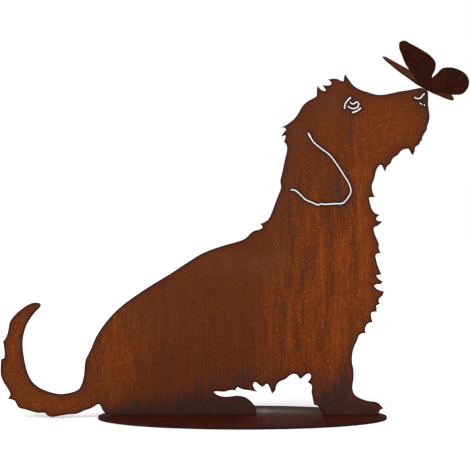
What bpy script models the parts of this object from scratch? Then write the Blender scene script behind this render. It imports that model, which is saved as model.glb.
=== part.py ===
"""Garden figure of a sitting rough-haired dachshund that looks up at a butterfly on its nose.

The dog is one flat steel sheet, cut to its outline and stood on edge on an oval foot plate. Its ear,
eye and nose are slots cut through the sheet. The butterfly is cut from thinner sheet, bent upwards
along its body and fixed to the tip of the nose. Everything is welded, and nothing moves.

Metres, +Z up. The origin is the centre of the foot plate's underside. +X runs from the tail to the
nose, and the sheet's middle plane is Y = 0. The side that is looked at faces -Y.
"""

import math

import bpy
import bmesh
import numpy as np
from mathutils.geometry import delaunay_2d_cdt

# Driving dimensions of the dog, in metres and degrees
DOG_HEIGHT = 0.3411         # from the soles to the highest tuft of the crown
DOG_SHEET = 0.0020          # thickness of the dog's sheet
EAR_SLOT = 0.0015           # width of the slot that draws the ear
FACE_SLOT = 0.0015          # width of the slots that draw the eye and the nose
NOSE_SEAT = 0.0042          # length of the slanting flat on the nose that carries the butterfly

# Driving dimensions of the foot plate
PLATE_DEPTH = 0.1500        # across the sheet
PLATE_THICKNESS = 0.0025
HEEL_MARGIN = 0.0137        # plate behind the heel
TOE_MARGIN = 0.0070         # plate in front of the forefoot's sole

# Driving dimensions of the butterfly
WING_LENGTH = 0.0837        # from the forewing's tip to the hindwing's rear edge, along the body
WING_SHEET = 0.0010         # thickness of its sheet
BEND_RADIUS = 0.0040        # of the sheet's middle, where the wings turn up
WING_LIFT = 44.0            # each wing above the flat sheet
BODY_PITCH = 27.0           # its head above its tail
BODY_YAW = 9.3              # its head turned towards -Y
BODY_ROLL = 17.4            # its -Y wing tipped up

# Driving dimensions of the welds behind the soles
WELD_LEG = 0.0030           # how far a bead reaches up the sheet and out over the plate
WELD_LENGTH = 0.0180
BEAD_RISE = 0.0002          # of a bead's underside above the soles

CONTACT_GAP = 0.0003        # left open between pieces that touch

# Fineness of the facets
TRACE_STEP = 0.0004         # at which a curve is first traced
FACET_TURN = 14.0           # degrees that a traced curve turns between two of the points kept
FACET_LENGTH = 0.0100       # and the farthest that it runs between them
CAP_FACETS = 6              # on the round end of a slot
PLATE_SIDES = 120
BEND_FACETS = 3             # on each half of the butterfly's bend
BEAD_FACETS = 4             # on a quarter turn of a weld bead

# Finishes, each a linear base colour, a roughness and a metallic share
SHEET_RUST = ((0.110, 0.030, 0.011), 0.75, 0.25)
PLATE_RUST = ((0.045, 0.013, 0.008), 0.60, 0.45)
WING_RUST = ((0.060, 0.016, 0.008), 0.70, 0.30)

# The drawing of the dog
# Its points are (x, z) in millimetres for a dog that is DRAWN_HEIGHT tall: x from just behind the
# tail, z up from the soles. A curve runs smoothly through them and breaks only at a CORNER, which is
# a tuft's tip, a sharp notch or an end of a sole. The outline goes clockwise as seen from -Y.
DRAWN_HEIGHT = 341.1
CORNER = True

HEEL_X, HIND_TOE_X = 112.0, 256.3       # ends of the hind sole
PASTERN_X, FORE_TOE_X = 323.6, 379.5    # ends of the forefoot's sole
NOSE_TIP = (424.9, 325.8)               # middle of the butterfly's seat

TAIL_UNDERSIDE = [
    (106, 1.9), (102.4, 5.6), (100.6, 9.5), (98.6, 11.1), (95, 9.3), (90, 6.5), (85, 5),
    (77, 1.7), (68, 0.9), (58, -0.7), (51.5, -1.5), (48, -0.4), (44.8, 2.4), (38, 2.5),
    (30, 4.6), (25, 6.1), (19.5, 7.4), (17.2, 10), (15.5, 13.7), (13, 15.4), (7.5, 16.8, CORNER),
]
TAIL_OUTER = [
    (9.9, 19.4), (10.2, 22), (8, 26.3), (3.4, 33.8), (1, 40), (0.7, 48), (1.2, 56.1, CORNER),
    (4.2, 57, CORNER), (4.7, 61.5), (4, 68.5), (3.2, 74, CORNER), (6, 77.8), (8.1, 84),
    (10.2, 93.8), (15, 100.3), (20, 105), (30, 111.5), (35.5, 112.8), (39.8, 111.8),
]
TAIL_INNER = [
    (40.8, 110), (39.8, 107.8), (35, 103), (32, 99), (27, 91.1), (25, 86), (22.8, 76.3),
    (22.7, 68.5), (23.7, 59.3), (26, 47.8), (29, 39), (33, 32.8), (40, 27.3), (50, 23.3),
    (60, 21.4), (70, 22.6), (78.5, 26.1), (82, 32.5), (84, 40.3), (84.8, 50.3), (86, 56.4),
    (90, 64.3), (94.5, 75),
]
BACK = [
    (97, 80.1), (105, 92), (115, 103.3), (125, 112.1), (135, 119.3), (150, 129.3), (170, 141.5),
    (190, 154.6), (200, 160.8), (210, 165.3), (225, 170.3), (243, 175.6), (247.5, 178.7),
    (251, 182.5), (254.5, 184.6), (259.5, 185.9), (262.5, 187.8), (262, 189.3),
    (260, 191.4, CORNER),
]
NAPE = [
    (265, 193.5), (268.5, 196.3), (272, 203.3), (275.3, 212.6), (279, 221.8), (281, 228.3),
    (280.3, 234), (281.3, 238.8), (283.2, 247.3), (285, 256.5), (286.7, 263.3), (286.8, 269.5),
    (284, 273.9, CORNER), (285.2, 277), (285.6, 280.1, CORNER), (281.4, 278.9, CORNER),
    (284.2, 283.3), (286, 285.7), (284.6, 287.5), (280.3, 288, CORNER), (284, 289.1), (288, 291.6),
]
CROWN = [
    (293, 295.3), (297, 300), (300, 305.3), (303, 309.8), (307, 313.5), (313, 316.9),
    (316.6, 319.4), (316.8, 324.3), (317.8, 329.5, CORNER), (320.5, 326), (323.8, 324.3),
    (326, 324.9), (325, 326.7), (322.3, 330.1, CORNER), (328, 329.8), (331.1, 330.9),
    (330.9, 333.5), (328, 335.7, CORNER), (332, 336.4), (337, 336.3), (341, 334.4),
    (343.7, 334, CORNER), (343.9, 337), (345, 341.1, CORNER),
]
MUZZLE = [
    (348.3, 336.4), (353, 330.1), (360, 325.6), (369, 322.7), (376, 320.6), (382, 320.4),
    (390, 321.7), (400, 323.9), (410, 325.4), (419, 327.1), (421.6, 327.4),
]
BEARD = [
    (427.8, 323.2), (428, 320), (428.2, 315), (428, 311.3), (428.6, 306.5), (429.5, 298.5),
    (428.8, 293.7), (427.2, 289.3), (426.6, 285.5), (424, 281.3), (422.2, 277.6), (421.7, 274.5, CORNER),
    (420.2, 274.2, CORNER), (419.2, 271.3), (417.3, 269.6), (415.2, 268), (414.6, 264),
    (412.5, 260.2, CORNER), (410.6, 263), (408.8, 266.3), (405, 266.2), (401, 264.3),
    (398, 260.5), (394, 257.9), (392, 255.5), (390.6, 252), (388.3, 250.1), (386.6, 248.3),
    (385.4, 243.6, CORNER),
]
THROAT = [
    (383.2, 247.3), (382.3, 249.4), (380.4, 250.4), (377.5, 247.5), (375.5, 242.5),
    (374.3, 236.8), (372, 230.8), (371.8, 227.3), (372.8, 222.5), (375, 218, CORNER),
    (371.5, 218.1), (368.8, 217.7, CORNER), (370, 212.3), (372, 205.8), (375.3, 202),
    (380.2, 200.4, CORNER), (377.2, 198.5), (376.2, 196.6), (377.2, 194.7), (382, 194.1, CORNER),
]
CHEST = [
    (379.2, 190.7), (376.5, 189.1), (373.9, 187.6), (374.4, 182.3), (376.6, 176.8),
    (378.8, 171.5), (378.8, 166.8), (381.3, 161.8, CORNER), (378.5, 161.9), (375.8, 160.6),
    (376.2, 155.3), (378.2, 148.6), (380, 144), (381.7, 140.7, CORNER), (376.3, 140.1, CORNER),
    (378, 137), (382.7, 133.8, CORNER), (380.5, 131.2), (376.5, 130.9), (374.3, 129.4),
    (377, 126.3), (380.8, 124.7), (384, 123.9, CORNER), (382.2, 119.5), (379.2, 116.6),
    (378.8, 113.7), (380, 111.5, CORNER), (376.3, 109.8, CORNER), (376.5, 107.3),
    (376.7, 103.4, CORNER), (373, 103.4), (370.8, 102.1, CORNER), (371.2, 98.8),
    (372.7, 92.7, CORNER), (369.5, 92.7), (366.6, 90.4), (365, 86), (365.8, 82, CORNER),
    (361.5, 81.7), (358.7, 79.3),
]
FORELEG_FRONT = [
    (357.3, 75.3), (355, 70.6), (352.6, 62.8), (352, 54), (353.5, 45.3), (353.5, 36.5),
    (352.4, 28), (354, 21.6), (359, 17.5), (368, 14.4), (376.5, 13), (379.9, 10.9),
    (383.1, 6.6, CORNER), (380.3, 5.6), (379.2, 3.6),
]
FORELEG_REAR = [
    (321.7, 2.5), (320, 7), (317.5, 9.4), (314, 10.7, CORNER), (313, 16), (311.5, 23.5),
    (311.9, 29.2), (309.8, 31.7), (307.3, 33, CORNER), (309.8, 35.7), (311, 39.2),
    (309.8, 41.5), (306.5, 41.2), (303, 38.3), (300, 36.3, CORNER), (298.5, 38.3), (296.8, 40.6),
    (292, 41), (285, 36), (279.5, 33.6), (277, 31.2), (275, 24.8), (271.9, 21.8, CORNER),
]
BELLY = [
    (270.4, 25.5), (268.6, 30), (266.6, 31.6), (264.6, 29.8), (262.5, 28.4, CORNER),
    (259.3, 30.3), (255.2, 33.2), (253.2, 31.3), (254.5, 26.6), (257.3, 23.4, CORNER),
    (252, 24.6), (245, 25.6), (240.5, 26.8), (237.4, 28.2), (235.5, 24.9, CORNER), (230, 25.1),
    (224, 23.6), (218, 24), (213.8, 23.6, CORNER),
]
HIND_FOOT = [
    (216.5, 20.9), (222, 18.9), (229, 18.7), (237.5, 19.6), (245, 18.1), (250.3, 14.5),
    (254.5, 9.6), (256.2, 4.5),
]

# Middle lines of the slots, in the same drawing
EAR_LINE = [
    (308.4, 282.2), (310.4, 278.4), (313, 273.9), (320.6, 267.2), (329.5, 260.5), (336.6, 251.3),
    (343.6, 240.5), (349, 231.5), (350.9, 223.6), (347.4, 216.9), (342.9, 212.3), (334, 211.6),
    (325.1, 211), (320.6, 211.3), (318.1, 210.4), (312.3, 212.8), (305.3, 215.9), (299.8, 221.3),
    (294.8, 225.1), (291.2, 225.6),
]
FACE_LINES = {
    "brow": [(350.6, 317.8), (347.9, 315.2), (345.9, 312.7), (344.8, 309.8), (344.5, 306.9)],
    "eye": [
        (350.4, 312.8), (351.7, 311.7), (353.6, 311.4), (355.2, 312.5), (356.6, 313.3),
        (358.1, 312.7), (358.7, 311.4), (358.1, 309.2), (356.5, 307.6), (354.2, 306.8),
        (351.7, 306.9), (349.8, 307.7), (348.2, 308.8),
    ],
    "eyelid": [(352.5, 302.8), (355.2, 303.6), (357.7, 304.8), (360.6, 307.2)],
    "nostril": [
        (414.6, 318), (416, 317.1), (418, 316.7), (420, 317.1), (421.5, 318.3), (422.7, 320),
        (424.3, 321.4),
    ],
    "lip": [(419.8, 312.3), (421.8, 310.9)],
    "lip_dot": [(424.3, 310.9), (424.7, 309.6)],
}
WELD_MIDDLES = [135.0, 185.0, 238.0, 335.0, 366.0]      # x of the beads along the soles

# The drawing of half the butterfly, laid flat
# Its points are (u, v) in millimetres for wings that are DRAWN_WING long: u along the body towards
# the head, v out from the body's middle line.
DRAWN_WING = 83.7
SEAT_U = -0.5               # u of the place that rests on the nose
FOREWING = [
    (6, 0, CORNER), (13, 4.4), (22.4, 8.6), (30.6, 12.6), (39.2, 19.3), (46, 25.2), (47.8, 29.2),
    (45.4, 32.7), (37.4, 33.5), (26, 33.5), (14.6, 32.5), (6, 28.7), (2.4, 21.6), (1.6, 15.8),
    (0.5, 13.4, CORNER),
]
HINDWING = [
    (-1, 19.5), (-3, 27.2), (-9, 31.8), (-18, 34.1), (-27, 33.1), (-32.9, 28.8), (-35.9, 20),
    (-34.6, 14.2), (-27.8, 9), (-15.7, 4.6), (-5, 0, CORNER),
]


def nose_seat_ends():
    """The two ends of the slanting flat on the nose, which lies along the butterfly's body."""
    half = 0.5 * NOSE_SEAT / DOG_HEIGHT * DRAWN_HEIGHT
    pitch = math.radians(BODY_PITCH)
    dx, dz = half * math.cos(pitch), half * math.sin(pitch)
    x, z = NOSE_TIP
    return (x - dx, z + dz, CORNER), (x + dx, z - dz, CORNER)


def dog_knots():
    """The whole outline of the dog, from the heel round by the tail, back, head and chest."""
    seat_top, seat_bottom = nose_seat_ends()
    return ([(HEEL_X, 0, CORNER)] + TAIL_UNDERSIDE + TAIL_OUTER + TAIL_INNER + BACK + NAPE + CROWN
            + MUZZLE + [seat_top, seat_bottom] + BEARD + THROAT + CHEST + FORELEG_FRONT
            + [(FORE_TOE_X, 0, CORNER), (PASTERN_X, 0, CORNER)] + FORELEG_REAR + BELLY + HIND_FOOT
            + [(HIND_TOE_X, 0, CORNER)])


def trace(points, step):
    """A centripetal Catmull-Rom curve through the points, with a new point about every step."""
    points = np.asarray(points, dtype=float)
    if len(points) == 2:
        return points
    before = 2 * points[0] - points[1]
    after = 2 * points[-1] - points[-2]
    p = np.vstack([before, points, after])
    knots = np.concatenate([[0.0], np.cumsum(np.sqrt(np.linalg.norm(np.diff(p, axis=0), axis=1)))])
    curve = [points[:1]]
    for i in range(1, len(p) - 2):
        count = max(1, math.ceil(float(np.linalg.norm(p[i + 1] - p[i])) / step))
        t = np.linspace(knots[i], knots[i + 1], count + 1)[1:, None]
        k0, k1, k2, k3 = knots[i - 1:i + 3]
        a1 = ((k1 - t) * p[i - 1] + (t - k0) * p[i]) / (k1 - k0)
        a2 = ((k2 - t) * p[i] + (t - k1) * p[i + 1]) / (k2 - k1)
        a3 = ((k3 - t) * p[i + 1] + (t - k2) * p[i + 2]) / (k3 - k2)
        b1 = ((k2 - t) * a1 + (t - k0) * a2) / (k2 - k0)
        b2 = ((k3 - t) * a2 + (t - k1) * a3) / (k3 - k1)
        curve.append(((k2 - t) * b1 + (t - k1) * b2) / (k2 - k1))
    return np.vstack(curve)


def thin(curve, longest):
    """The points of a traced curve that its facets need: close where it turns, far apart where it
    runs straight."""
    steps = np.diff(curve, axis=0)
    heading = np.unwrap(np.arctan2(steps[:, 1], steps[:, 0]))
    turned = np.abs(np.diff(heading, prepend=heading[0])) / math.radians(FACET_TURN)
    need = np.concatenate([[0.0], np.cumsum(turned + np.linalg.norm(steps, axis=1) / longest)])
    facets = max(1, round(need[-1]))
    kept = np.searchsorted(need, np.linspace(0.0, need[-1], facets + 1)[1:-1])
    return curve[np.unique([0, *kept, len(curve) - 1])]


def smooth_run(points, unit):
    """The faceted curve through drawn points, where unit is the real length of a drawn one."""
    return thin(trace(points, TRACE_STEP / unit), FACET_LENGTH / unit)


def closed_curve(knots, unit):
    """The closed outline through a ring of knots, whose first knot is a corner."""
    ring = list(knots) + [knots[0]]
    corners = [i for i, knot in enumerate(ring) if len(knot) == 3]
    runs = [smooth_run([k[:2] for k in ring[a:b + 1]], unit)[:-1]
            for a, b in zip(corners, corners[1:])]
    return np.vstack(runs)


def slot_outline(line, width, unit):
    """A slot of one width along a middle line, with round ends."""
    middle = smooth_run(line, unit)
    along = np.gradient(middle, axis=0)
    along /= np.linalg.norm(along, axis=1, keepdims=True)
    across = np.stack([-along[:, 1], along[:, 0]], axis=1)
    turn = np.linspace(-math.pi / 2, math.pi / 2, CAP_FACETS + 1)[1:-1, None]
    front = middle[-1] + (np.cos(turn) * along[-1] + np.sin(turn) * across[-1]) * width / 2
    back = middle[0] - (np.cos(turn) * along[0] + np.sin(turn) * across[0]) * width / 2
    half = across * width / 2
    return np.vstack([middle - half, front, (middle + half)[::-1], back])


def inside(points, loop):
    """True where a point lies inside a closed loop."""
    x, y = points[:, 0:1], points[:, 1:2]
    ax, ay = loop[:, 0], loop[:, 1]
    bx, by = np.roll(ax, -1), np.roll(ay, -1)
    spans = (ay > y) != (by > y)
    rise = np.where(by == ay, 1.0, by - ay)
    crossing = ax + (y - ay) * (bx - ax) / rise
    return (spans & (x < crossing)).sum(axis=1) % 2 == 1


def fill_flat(outline, holes=(), folds=()):
    """Points and triangles of a flat shape with holes, with triangle edges along its fold lines."""
    points, edges = [], []
    for loop in [outline, *holes]:
        first = len(points)
        points += [tuple(p) for p in loop]
        edges += [(first + i, first + (i + 1) % len(loop)) for i in range(len(loop))]
    for start, end in folds:
        edges.append((len(points), len(points) + 1))
        points += [start, end]
    verts, _, faces, _, _, _ = delaunay_2d_cdt(points, edges, [], 0, 1e-6)
    verts = np.array([tuple(v) for v in verts])
    faces = np.array([tuple(f) for f in faces])
    centres = verts[faces].mean(axis=1)
    keep = inside(centres, outline)
    for hole in holes:
        keep &= ~inside(centres, hole)
    faces = faces[keep]
    used, renumbered = np.unique(faces, return_inverse=True)
    return verts[used], renumbered.reshape(faces.shape)


def sheet_object(name, flat, place, material):
    """A closed solid between the two faces of a sheet. place(points, side) puts the flat points on
    its upper face for side 1 and on its lower face for side -1."""
    points, faces = flat
    count = len(points)
    verts = np.vstack([place(points, 1), place(points, -1)])
    directed = {(a, b) for f in faces.tolist() for a, b in zip(f, f[1:] + f[:1])}
    rim = [(a, b) for a, b in directed if (b, a) not in directed]
    walls = [(b, a, a + count, b + count) for a, b in sorted(rim)]
    below = [tuple(f[::-1]) for f in (faces + count).tolist()]
    mesh = bpy.data.meshes.new(name)
    mesh.from_pydata(verts.tolist(), [], [tuple(f) for f in faces.tolist()] + below + walls)
    mesh.materials.append(material)
    piece = bpy.data.objects.new(name, mesh)
    bpy.context.scene.collection.objects.link(piece)
    return piece


def steel(name, colour, roughness, metallic):
    """A Principled material for rusted steel."""
    material = bpy.data.materials.new(name)
    material.use_nodes = True
    shader = material.node_tree.nodes["Principled BSDF"]
    shader.inputs["Base Color"].default_value = (*colour, 1.0)
    shader.inputs["Roughness"].default_value = roughness
    shader.inputs["Metallic"].default_value = metallic
    return material


def plate_span():
    """The foot plate's middle, in the dog's own metres, and its half length."""
    unit = DOG_HEIGHT / DRAWN_HEIGHT
    rear = HEEL_X * unit - HEEL_MARGIN
    front = FORE_TOE_X * unit + TOE_MARGIN
    return (rear + front) / 2, (front - rear) / 2


def to_dog(points):
    """Drawn points of the dog as metres of x from the plate's middle and z above the soles."""
    unit = DOG_HEIGHT / DRAWN_HEIGHT
    middle, _ = plate_span()
    return np.asarray(points, dtype=float)[:, :2] * unit - [middle, 0.0]


SOLE_Z = PLATE_THICKNESS + CONTACT_GAP


def make_dog(material):
    """The dog's sheet with its slots."""
    unit = DOG_HEIGHT / DRAWN_HEIGHT
    outline = to_dog(closed_curve(dog_knots(), unit))
    slots = [to_dog(slot_outline(EAR_LINE, EAR_SLOT / unit, unit))]
    slots += [to_dog(slot_outline(line, FACE_SLOT / unit, unit)) for line in FACE_LINES.values()]

    def place(points, side):
        depth = np.full(len(points), -side * DOG_SHEET / 2)
        return np.stack([points[:, 0], depth, points[:, 1] + SOLE_Z], axis=1)

    return sheet_object("dachshund", fill_flat(outline, slots), place, material)


def add_welds(dog):
    """Short beads along the soles, on the side away from the viewer, made one with the dog. Each is a
    quarter of an ellipsoid, in the corner between the sheet and the plate."""
    bm = bmesh.new()
    around, upwards = np.meshgrid(np.linspace(0, math.pi, BEAD_FACETS * 2 + 1),
                                  np.linspace(0, math.pi / 2, BEAD_FACETS + 1))
    bead = np.stack([WELD_LENGTH / 2 * np.cos(around),
                     (DOG_SHEET / 2 + WELD_LEG) * np.sin(around) * np.cos(upwards),
                     WELD_LEG * np.sin(around) * np.sin(upwards)], axis=-1).reshape(-1, 3)
    for middle in to_dog([(x, 0) for x in WELD_MIDDLES])[:, 0]:
        made = [bm.verts.new(p) for p in bead + [middle, 0.0, SOLE_Z + BEAD_RISE]]
        hull = bmesh.ops.convex_hull(bm, input=made, use_existing_faces=False)
        spare = {v for v in hull["geom_interior"] + hull["geom_unused"]
                 if isinstance(v, bmesh.types.BMVert)}
        bmesh.ops.delete(bm, geom=list(spare), context="VERTS")
    bmesh.ops.recalc_face_normals(bm, faces=bm.faces[:])
    mesh = bpy.data.meshes.new("weld_beads")
    bm.to_mesh(mesh)
    bm.free()
    beads = bpy.data.objects.new("weld_beads", mesh)
    beads.hide_render = True
    beads.display_type = "WIRE"
    bpy.context.scene.collection.objects.link(beads)
    union = dog.modifiers.new("welds", "BOOLEAN")
    union.operation = "UNION"
    union.solver = "EXACT"
    union.object = beads


def make_plate(material):
    """The oval foot plate, whose middle is at the origin."""
    _, half_length = plate_span()
    turn = np.linspace(0.0, 2 * math.pi, PLATE_SIDES, endpoint=False)
    oval = np.stack([half_length * np.cos(turn), PLATE_DEPTH / 2 * np.sin(turn)], axis=1)

    def place(points, side):
        height = np.full(len(points), PLATE_THICKNESS if side > 0 else 0.0)
        return np.stack([points[:, 0], points[:, 1], height], axis=1)

    return sheet_object("foot_plate", fill_flat(oval), place, material)


def butterfly_axes():
    """Unit vectors of the butterfly: forwards to its head, out to its -Y wing, and up."""
    pitch, yaw, roll = (math.radians(a) for a in (BODY_PITCH, BODY_YAW, BODY_ROLL))
    forward = np.array([-math.cos(pitch) * math.cos(yaw), -math.sin(yaw),
                        math.sin(pitch) * math.cos(yaw)])
    seat_normal = np.array([math.sin(pitch), 0.0, math.cos(pitch)])
    level_side = np.cross(seat_normal, forward)
    side = math.cos(roll) * level_side + math.sin(roll) * seat_normal
    up = np.cross(forward, side)
    return forward, side, up, seat_normal


def make_butterfly(material):
    """The butterfly: its flat shape rolled round the bend, with the wings straight beyond it."""
    unit = WING_LENGTH / DRAWN_WING
    half = FOREWING + HINDWING
    mirrored = [(k[0], -k[1], *k[2:]) for k in half[-2:0:-1]]
    ring = closed_curve(half + mirrored, unit) * unit
    lift = math.radians(WING_LIFT)
    arc = BEND_RADIUS * lift
    lines = np.linspace(-arc, arc, 2 * BEND_FACETS + 1)
    folds = [((-WING_LENGTH, v), (WING_LENGTH, v)) for v in lines.tolist()]
    forward, side_way, up, seat_normal = butterfly_axes()
    nose = to_dog([NOSE_TIP])[0]
    clearance = CONTACT_GAP + WING_SHEET / 2 + BEND_RADIUS
    bend_middle = np.array([nose[0], 0.0, nose[1] + SOLE_Z]) + clearance * seat_normal

    def place(points, side):
        turn = np.clip(points[:, 1], -arc, arc) / BEND_RADIUS
        straight = points[:, 1] - turn * BEND_RADIUS
        radius = BEND_RADIUS - side * WING_SHEET / 2
        out = radius * np.sin(turn) + straight * np.cos(lift)
        rise = -radius * np.cos(turn) + np.abs(straight) * np.sin(lift)
        return (bend_middle + (points[:, :1] - SEAT_U * unit) * forward
                + out[:, None] * side_way + rise[:, None] * up)

    return sheet_object("butterfly", fill_flat(ring, folds=folds), place, material)


def main():
    for old in list(bpy.data.objects):
        bpy.data.objects.remove(old, do_unlink=True)
    dog = make_dog(steel("rusted sheet", *SHEET_RUST))
    add_welds(dog)
    make_plate(steel("dark plate", *PLATE_RUST))
    make_butterfly(steel("thin sheet", *WING_RUST))


main()
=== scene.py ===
# %% [markdown]
# # A rusted steel dachshund with a butterfly on its nose
#
# This garden figure is made as flat as a drawing. A maker cuts a sitting, rough-haired dachshund out
# of one steel sheet, stands the sheet on edge on an oval foot plate, bends a small butterfly from
# thinner sheet and welds it to the tip of the nose. Then rain does the rest: the steel rusts to a
# warm brown, darker along every cut edge and with orange run marks where the water came down.
#
# The packed CAD model gives every place and size. Here each sheet gets the finish that a solid model
# leaves out: smooth cut lines, a slightly rounded arris, weld beads with ripples, and rust.

# %% Load the fixed frame
import math

import bmesh
import bpy
import numpy as np
from mathutils.geometry import delaunay_2d_cdt
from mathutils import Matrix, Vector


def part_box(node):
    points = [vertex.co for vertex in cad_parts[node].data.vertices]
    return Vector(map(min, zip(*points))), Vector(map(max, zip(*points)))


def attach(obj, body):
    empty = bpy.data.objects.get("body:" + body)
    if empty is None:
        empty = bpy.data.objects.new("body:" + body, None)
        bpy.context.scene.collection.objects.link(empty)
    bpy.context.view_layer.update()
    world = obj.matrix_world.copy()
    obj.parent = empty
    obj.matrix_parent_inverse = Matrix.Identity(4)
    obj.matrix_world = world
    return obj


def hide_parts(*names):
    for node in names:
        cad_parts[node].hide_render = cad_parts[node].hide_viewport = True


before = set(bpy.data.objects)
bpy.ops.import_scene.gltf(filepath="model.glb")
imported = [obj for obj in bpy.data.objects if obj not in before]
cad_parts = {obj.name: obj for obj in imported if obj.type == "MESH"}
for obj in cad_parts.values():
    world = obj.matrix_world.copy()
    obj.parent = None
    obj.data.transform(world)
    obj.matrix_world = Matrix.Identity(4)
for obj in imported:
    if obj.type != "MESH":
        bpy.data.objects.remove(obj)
bpy.context.view_layer.update()
MM = 0.001
print("CAD nodes:", ", ".join(sorted(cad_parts)))

# %% [markdown]
# ## The camera
#
# The photograph looks at the flat side of the dog almost square on, from a bit above half its height.
# The foot plate gives the height away: it shows as a thin oval, so the eye is a little above it. A
# long lens from 1.26 m keeps that oval thin and the sheet free of distortion. A level camera needs
# no shift at all when it stands as high as the middle of the picture.

# %% Place the camera
EYE = (-7.4 * MM, -1256 * MM, 183.1 * MM)
FIELD = 470 * MM                    # seen from side to side at the dog's sheet
SENSOR = 36.0

camera = bpy.data.objects.new("photo_camera", bpy.data.cameras.new("photo_camera"))
camera.location = EYE
camera.rotation_euler = (math.pi / 2, 0, 0)
camera.data.sensor_width = SENSOR
camera.data.lens = SENSOR * -EYE[1] / FIELD
camera.data.clip_end = 60           # metres, past the floor's far corners
bpy.context.scene.collection.objects.link(camera)
bpy.context.scene.camera = camera
print("lens:", round(camera.data.lens, 1), "mm")

# %% [markdown]
# ## Cut lines from the CAD model
#
# The dog's outline is its whole likeness, so it is taken from the CAD node and not drawn again. The
# node's mesh is loose triangles, so a copy of it is merged.

# %% Merge a copy of a node
SAME_PLACE = 0.01 * MM              # points nearer than this are one point


def merged_triangles(node):
    """Points (n, 3) and triangles (m, 3) of a merged copy of a CAD node's mesh."""
    bm = bmesh.new()
    bm.from_mesh(node.data)
    bmesh.ops.remove_doubles(bm, verts=bm.verts, dist=SAME_PLACE)
    copy = bpy.data.meshes.new("merged_copy")
    bm.to_mesh(copy)
    bm.free()
    points = np.empty(len(copy.vertices) * 3)
    copy.vertices.foreach_get("co", points)
    copy.calc_loop_triangles()
    triangles = np.empty(len(copy.loop_triangles) * 3, dtype=int)
    copy.loop_triangles.foreach_get("vertices", triangles)
    bpy.data.meshes.remove(copy)
    return points.reshape(-1, 3), triangles.reshape(-1, 3)


dog_points, dog_triangles = merged_triangles(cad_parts["dachshund"])
print("the dog's node:", len(dog_points), "points,", len(dog_triangles), "triangles")

# %% [markdown]
# Only the triangles of the front face are kept. A side that only one of them has lies on a cut line.
# Those sides become a mesh with no faces, and Blender turns that into a curve, which strings the
# points of each cut line in order.

# %% String the cut lines
def cut_lines(points, triangles):
    """The closed lines round a flat patch of triangles, as rings of points in order."""
    sides = np.vstack([triangles[:, pair] for pair in ([0, 1], [1, 2], [2, 0])])
    sides, used_by = np.unique(np.sort(sides, axis=1), axis=0, return_counts=True)
    lines = bpy.data.meshes.new("cut_lines")
    lines.from_pydata(points.tolist(), sides[used_by == 1].tolist(), [])
    holder = bpy.data.objects.new("cut_lines", lines)
    bpy.context.scene.collection.objects.link(holder)
    bpy.ops.object.select_all(action="DESELECT")
    bpy.context.view_layer.objects.active = holder
    holder.select_set(True)
    bpy.ops.object.convert(target="CURVE")
    rings = []
    for spline in holder.data.splines:
        ring = np.empty(len(spline.points) * 4)
        spline.points.foreach_get("co", ring)
        rings.append(ring.reshape(-1, 4)[:, :3])
    bpy.data.objects.remove(holder)
    return rings


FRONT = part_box("dachshund")[0].y
on_front = (np.abs(dog_points[dog_triangles][:, :, 1] - FRONT) < SAME_PLACE).all(axis=1)
dog_rings = [ring[:, [0, 2]] for ring in cut_lines(dog_points, dog_triangles[on_front])]
dog_rings.sort(key=len, reverse=True)
print("points in each cut line:", [len(ring) for ring in dog_rings])

# %% [markdown]
# ## A smooth line through the points
#
# The maker's torch ran in smooth curves and stopped dead only at the tips of the fur. The CAD line
# has a point every few degrees of turn, and at a tip it turns much more. So a point that turns the
# line sharply stays a corner, and between the others goes a cubic curve. The soles are the only long
# straight cuts, and their ends stay corners too. Working all the stretches out at once, as arrays, is
# quick and leaves no stretch treated differently.

# %% Measure a ring
def area(ring):
    """Signed area of a ring by the shoelace rule: half the sum of x·z' − x'·z over its sides."""
    ahead = np.roll(ring, -1, axis=0)
    return 0.5 * np.sum(ring[:, 0] * ahead[:, 1] - ahead[:, 0] * ring[:, 1])


def turn_at(ring):
    """Angle at each point, in degrees, between the side before it and the side after it."""
    before, after = ring - np.roll(ring, 1, axis=0), np.roll(ring, -1, axis=0) - ring
    across = before[:, 0] * after[:, 1] - before[:, 1] * after[:, 0]
    return np.abs(np.degrees(np.arctan2(across, (before * after).sum(axis=1))))


print("sharpest turn of each cut line, in degrees:", [round(turn_at(ring).max()) for ring in dog_rings])

# %% Smooth a ring
def smooth_ring(ring, sharp, step):
    """A closed curve through a ring that breaks only at its sharp points, a point about every step.

    Between points p and q, left with slope m and reached with slope n, it is the cubic
    (2t³ − 3t² + 1)·p + (t³ − 2t² + t)·m + (3t² − 2t³)·q + (t³ − t²)·n for t from 0 to 1. The slope at
    a smooth point is the mean of its two sides' directions, the shorter side counting more. At a
    sharp point it is the mirror image, in the side, of the slope at the side's other end."""
    ahead = np.roll(ring, -1, axis=0)
    length = np.linalg.norm(ahead - ring, axis=1, keepdims=True)
    side = (ahead - ring) / length
    length_before, side_before = np.roll(length, 1, axis=0), np.roll(side, 1, axis=0)
    slope = (side_before * length + side * length_before) / (length + length_before)
    sharp = np.asarray(sharp)[:, None]
    slope_ahead, sharp_ahead = np.roll(slope, -1, axis=0), np.roll(sharp, -1, axis=0)
    leave = np.where(sharp, np.where(sharp_ahead, side, 2 * side - slope_ahead), slope) * length
    reach = np.where(sharp_ahead, np.where(sharp, side, 2 * side - slope), slope_ahead) * length
    count = np.ceil(length[:, 0] / step).astype(int)
    k = np.repeat(np.arange(len(ring)), count)
    t = ((np.arange(len(k)) - np.repeat(np.cumsum(count) - count, count)) / count[k])[:, None]
    curve = ((2 * t**3 - 3 * t**2 + 1) * ring[k] + (t**3 - 2 * t**2 + t) * leave[k]
             + (3 * t**2 - 2 * t**3) * ahead[k] + (t**3 - t**2) * reach[k])
    return curve, sharp[k, 0] & (t[:, 0] == 0)


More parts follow.
